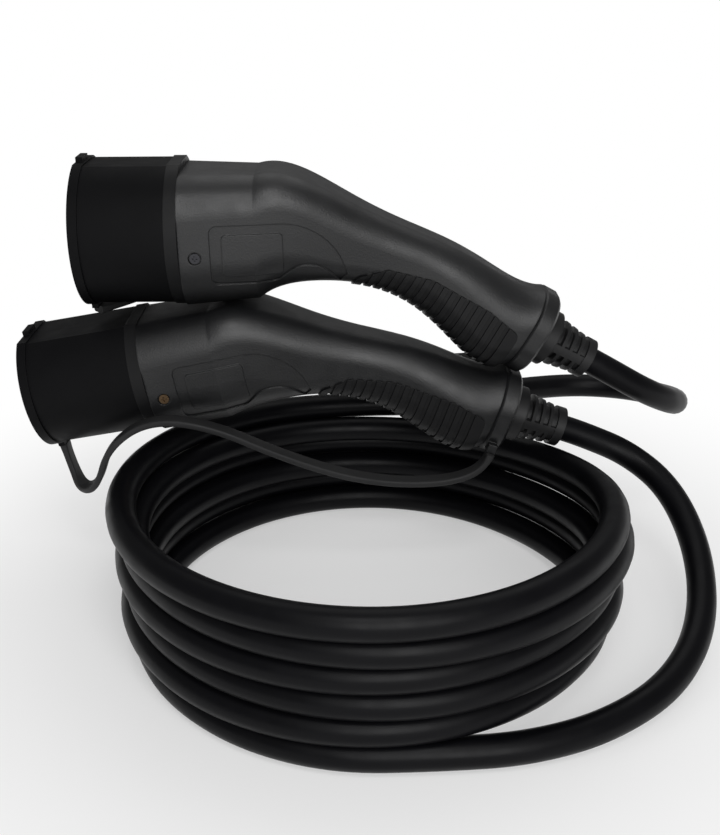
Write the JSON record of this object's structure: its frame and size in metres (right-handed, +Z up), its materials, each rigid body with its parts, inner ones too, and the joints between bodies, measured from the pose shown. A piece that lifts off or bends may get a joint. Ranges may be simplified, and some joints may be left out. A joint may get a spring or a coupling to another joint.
{
  "type": "ev charging cable",
  "caption": "Vehicle charging cable with a bent handle and tethered nose cap at each end, lying on its own loose coil.",
  "frame": {"origin": "on the floor, at the middle of the coil", "axes": "+Z up; the noses point to -X and the tails to +X; +Y is behind, away from the camera"},
  "size_m": [0.3872, 0.3159, 0.2336],
  "materials": {
    "cap_plastic": "smooth satin black",
    "strap_rubber": "matt dark grey rubber",
    "ring_plastic": "satin black",
    "nose_plastic": "smooth black thermoplastic",
    "housing_plastic": "fine spark-eroded texture, dark charcoal",
    "grip_rubber": "soft-touch black rubber",
    "screw_steel": "blackened steel",
    "screw_brass": "dull brass",
    "boot_rubber": "matt black rubber",
    "contact_metal": "silver-plated copper alloy",
    "cable_jacket": "smooth satin black cable jacket"
  },
  "bodies": {
    "root": {"connector_cap_strap": "strap_rubber", "connector_front_ring": "ring_plastic", "connector_shroud": "nose_plastic", "connector_contact_insert": "nose_plastic", "connector_contact_retainer": "nose_plastic", "connector_housing": "housing_plastic", "connector_grip": "grip_rubber", "connector_side_screws": "screw_brass", "connector_tail_collar": "housing_plastic", "connector_boot": "boot_rubber", "connector_cable_clamp": "nose_plastic", "connector_gland_seal": "boot_rubber", "connector_socket_l1": "contact_metal", "connector_socket_n": "contact_metal", "connector_socket_pe": "contact_metal", "connector_socket_l2": "contact_metal", "connector_socket_l3": "contact_metal", "connector_socket_cp": "contact_metal", "connector_socket_pp": "contact_metal", "connector_cable": "cable_jacket", "plug_cap_strap": "strap_rubber", "plug_front_ring": "ring_plastic", "plug_shroud": "nose_plastic", "plug_contact_insert": "nose_plastic", "plug_contact_retainer": "nose_plastic", "plug_housing": "housing_plastic", "plug_grip": "grip_rubber", "plug_side_screws": "screw_steel", "plug_tail_collar": "housing_plastic", "plug_boot": "boot_rubber", "plug_cable_clamp": "nose_plastic", "plug_gland_seal": "boot_rubber", "plug_pin_l1": "contact_metal", "plug_pin_n": "contact_metal", "plug_pin_pe": "contact_metal", "plug_pin_l2": "contact_metal", "plug_pin_l3": "contact_metal", "plug_pin_cp": "contact_metal", "plug_pin_pp": "contact_metal", "plug_cable": "cable_jacket", "cable_coil": "cable_jacket"},
    "connector_cap": {"connector_cap": "cap_plastic"},
    "plug_cap": {"plug_cap": "cap_plastic"}
  },
  "joints": [
    {"name": "connector_cap_pull", "type": "slide", "parent": "root", "child": "connector_cap", "axis": [-0.9847, 0, -0.1745], "range_m": [0, 0.0574], "deforming": ["connector_cap_strap"]},
    {"name": "plug_cap_pull", "type": "slide", "parent": "root", "child": "plug_cap", "axis": [-1, 0, -0.0066], "range_m": [0, 0.046], "deforming": ["plug_cap_strap"]}
  ]
}
